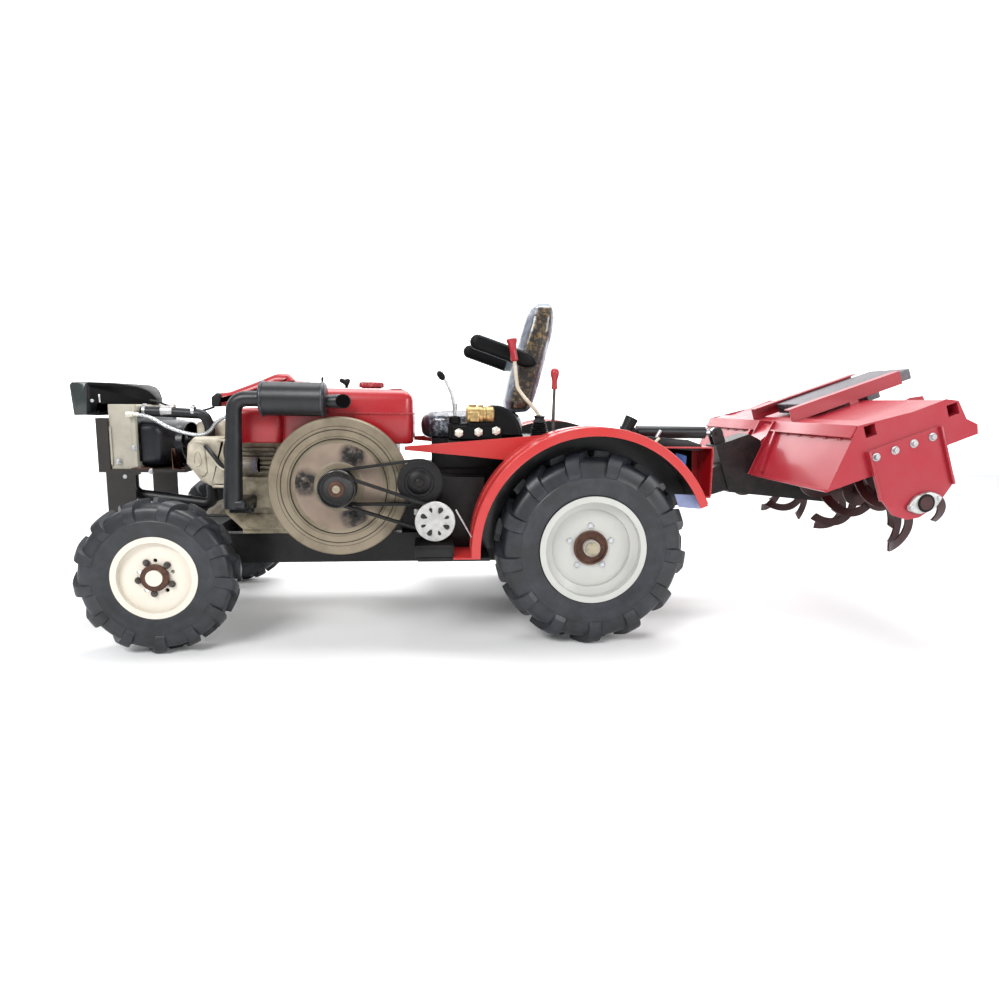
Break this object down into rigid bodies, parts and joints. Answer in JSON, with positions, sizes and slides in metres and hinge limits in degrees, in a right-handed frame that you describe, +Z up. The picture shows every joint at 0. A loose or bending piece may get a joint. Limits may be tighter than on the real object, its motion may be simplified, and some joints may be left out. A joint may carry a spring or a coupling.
{
  "type": "ride-on rotary tiller",
  "caption": "Small four-wheel ride-on tractor with an open single-cylinder engine and a raised rotary tiller on a lift arm behind it.",
  "frame": {"origin": "on the ground under the middle of the machine's overall length and width", "axes": "+X from the nose to the tiller, +Y from the driver's left to the driver's right, +Z up"},
  "size_m": [3.3607, 1.31, 1.2883],
  "materials": {
    "chassis_black": "satin",
    "bright_steel": "satin",
    "tyre_rubber": "matte",
    "white_rim": "satin",
    "red_plastic": "gloss",
    "silver_rim": "satin",
    "engine_grey": "satin",
    "red_paint": "gloss",
    "black_plastic": "matte",
    "black_heat_paint": "matte",
    "cream_paint": "satin",
    "lamp_lens": "gloss",
    "hose_rubber": "matte",
    "gearbox_paint": "satin",
    "pulley_black": "satin",
    "alternator_metal": "satin",
    "flywheel_iron": "satin",
    "belt_rubber": "matte",
    "seat_vinyl": "satin",
    "valve_zinc": "satin",
    "lever_paint": "satin",
    "bearing_iron": "satin",
    "tine_maroon": "satin",
    "galvanised": "satin",
    "chromed_rod": "gloss"
  },
  "bodies": {
    "chassis": {"chassis_rails": "chassis_black", "front_frame": "chassis_black", "front_axle": "chassis_black", "engine_block": "engine_grey", "cylinder_head": "engine_grey", "fuel_tank": "red_paint", "fuel_cap": "red_plastic", "front_cowl": "red_paint", "muffler": "black_heat_paint", "air_cleaner": "black_heat_paint", "radiator": "cream_paint", "fan_shroud": "black_plastic", "lamp_box": "black_plastic", "headlamps": "lamp_lens", "coolant_hoses": "hose_rubber", "gearbox": "gearbox_paint", "alternator": "alternator_metal", "drive_belts": "belt_rubber", "battery_box": "black_plastic", "footboards": "chassis_black", "left_fender": "red_paint", "right_fender": "red_paint", "lift_housing": "gearbox_paint", "seat_base": "chassis_black", "seat_cushion": "seat_vinyl", "seat_backrest": "seat_vinyl", "armrests": "black_plastic", "hydraulic_valve": "valve_zinc", "control_levers": "lever_paint", "hitch_frame": "red_paint"},
    "flywheel_body": {"flywheel": "flywheel_iron", "crank_pulley": "pulley_black"},
    "clutch_pulley_body": {"clutch_pulley": "pulley_black"},
    "alternator_pulley_body": {"alternator_pulley": "alternator_metal"},
    "left_knuckle_body": {"left_knuckle": "chassis_black"},
    "right_knuckle_body": {"right_knuckle": "chassis_black"},
    "tie_rod_body": {"tie_rod": "bright_steel"},
    "front_left_wheel": {"front_left_tyre": "tyre_rubber", "front_left_rim": "white_rim"},
    "front_right_wheel": {"front_right_tyre": "tyre_rubber", "front_right_rim": "white_rim"},
    "rear_left_wheel": {"rear_left_tyre": "tyre_rubber", "rear_left_rim": "silver_rim"},
    "rear_right_wheel": {"rear_right_tyre": "tyre_rubber", "rear_right_rim": "silver_rim"},
    "tiller": {"tiller_hood": "red_paint", "lower_side_plates": "red_paint", "rotor_bearings": "bearing_iron", "drive_case": "gearbox_paint", "mast_arms": "red_paint", "mast_channel": "galvanised"},
    "rotor": {"tine_rotor": "tine_maroon"},
    "ram_barrel": {"lift_cylinder": "black_heat_paint"},
    "ram_rod": {"lift_rod": "chromed_rod"}
  },
  "joints": [
    {"name": "front_left_spin", "type": "hinge", "parent": "left_knuckle_body", "child": "front_left_wheel", "pos_m": [-1.30551, -0.472, 0.27], "axis": [0, 1, 0], "continuous": true},
    {"name": "front_right_spin", "type": "hinge", "parent": "right_knuckle_body", "child": "front_right_wheel", "pos_m": [-1.30551, 0.472, 0.27], "axis": [0, 1, 0], "continuous": true},
    {"name": "rear_left_spin", "type": "hinge", "parent": "chassis", "child": "rear_left_wheel", "pos_m": [0.21449, -0.46, 0.355], "axis": [0, 1, 0], "continuous": true},
    {"name": "rear_right_spin", "type": "hinge", "parent": "chassis", "child": "rear_right_wheel", "pos_m": [0.21449, 0.46, 0.355], "axis": [0, 1, 0], "continuous": true},
    {"name": "steer_left", "type": "hinge", "parent": "chassis", "child": "left_knuckle_body", "pos_m": [-1.30551, -0.345, 0.27], "axis": [0, 0, 1], "range_deg": [-30, 30]},
    {"name": "steer_right", "type": "hinge", "parent": "chassis", "child": "right_knuckle_body", "pos_m": [-1.30551, 0.345, 0.27], "axis": [0, 0, 1], "range_deg": [-30, 30]},
    {"name": "tie_rod_pivot", "type": "hinge", "parent": "left_knuckle_body", "child": "tie_rod_body", "pos_m": [-1.17551, -0.345, 0.19], "axis": [0, 0, 1], "range_deg": [-30, 30]},
    {"name": "flywheel_spin", "type": "hinge", "parent": "chassis", "child": "flywheel_body", "pos_m": [-0.69751, -0.41, 0.57], "axis": [0, 1, 0], "continuous": true},
    {"name": "clutch_pulley_spin", "type": "hinge", "parent": "chassis", "child": "clutch_pulley_body", "pos_m": [-0.41051, -0.41, 0.59], "axis": [0, 1, 0], "continuous": true},
    {"name": "alternator_spin", "type": "hinge", "parent": "chassis", "child": "alternator_pulley_body", "pos_m": [-0.35451, -0.41, 0.457], "axis": [0, 1, 0], "continuous": true},
    {"name": "tiller_lift", "type": "hinge", "parent": "chassis", "child": "tiller", "pos_m": [0.51449, 0, 0.42], "axis": [0, 1, 0], "range_deg": [0, 27.7]},
    {"name": "rotor_spin", "type": "hinge", "parent": "tiller", "child": "rotor", "pos_m": [1.38849, 0, 0.543], "axis": [0, 1, 0], "continuous": true},
    {"name": "ram_swing", "type": "hinge", "parent": "chassis", "child": "ram_barrel", "pos_m": [0.48949, 0, 0.76], "axis": [0, 1, 0], "range_deg": [0, 22.87]},
    {"name": "ram_slide", "type": "slide", "parent": "ram_barrel", "child": "ram_rod", "axis": [1, 0, -0.0002], "range_m": [0, 0.15917]}
  ],
  "couplings": [
    {"joint": "steer_right", "follows": "steer_left", "ratio": 1},
    {"joint": "tie_rod_pivot", "follows": "steer_left", "ratio": -1},
    {"joint": "clutch_pulley_spin", "follows": "flywheel_spin", "ratio": 0.73333},
    {"joint": "alternator_spin", "follows": "flywheel_spin", "ratio": 1.125},
    {"joint": "ram_swing", "follows": "tiller_lift", "ratio": 0.82528},
    {"joint": "ram_slide", "follows": "tiller_lift", "m_per_rad": 0.32883}
  ]
}
